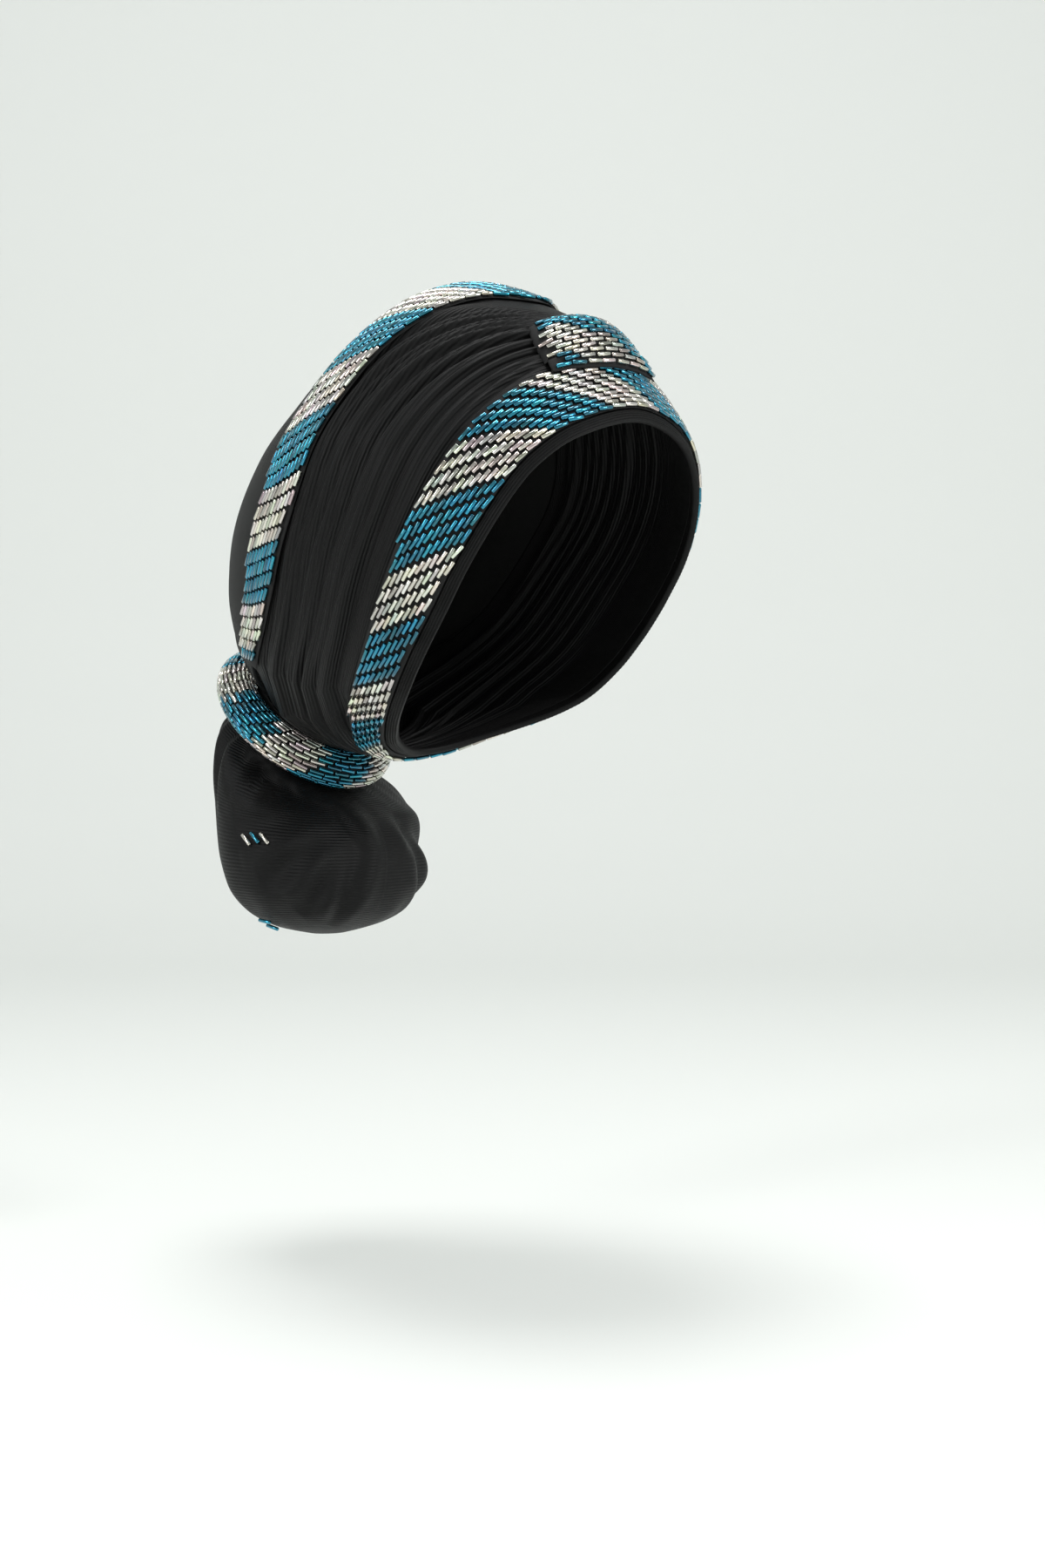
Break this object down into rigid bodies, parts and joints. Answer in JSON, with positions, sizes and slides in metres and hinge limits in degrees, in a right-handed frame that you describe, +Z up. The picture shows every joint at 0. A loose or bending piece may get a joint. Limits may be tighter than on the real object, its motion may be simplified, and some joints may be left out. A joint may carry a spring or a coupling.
{
  "type": "turban headwrap",
  "caption": "Ready-made jersey turban headwrap with a beaded face band, a beaded crown strap, a pleated drape, a centre knot and a pouch below a beaded nape ring.",
  "frame": {"origin": "inside of the crown, where the top of the head bears", "axes": "+Z up, the wearer faces -Y and the wearer's right is -X"},
  "size_m": [0.1736, 0.2437, 0.2854],
  "materials": {
    "jersey": "matte",
    "beadwork": "gloss",
    "ribbed_edge": "matte",
    "glass_tube": "gloss"
  },
  "bodies": {
    "root": {"face_band": "beadwork", "face_trim": "ribbed_edge", "crown_strap": "beadwork", "pleated_drape": "jersey", "back_cap": "jersey", "centre_knot": "beadwork", "nape_ring": "beadwork", "tail_pouch": "jersey", "pouch_bead_1": "glass_tube", "pouch_bead_2": "glass_tube", "pouch_bead_3": "glass_tube", "pouch_bead_4": "glass_tube", "pouch_bead_5": "glass_tube"}
  },
  "joints": []
}
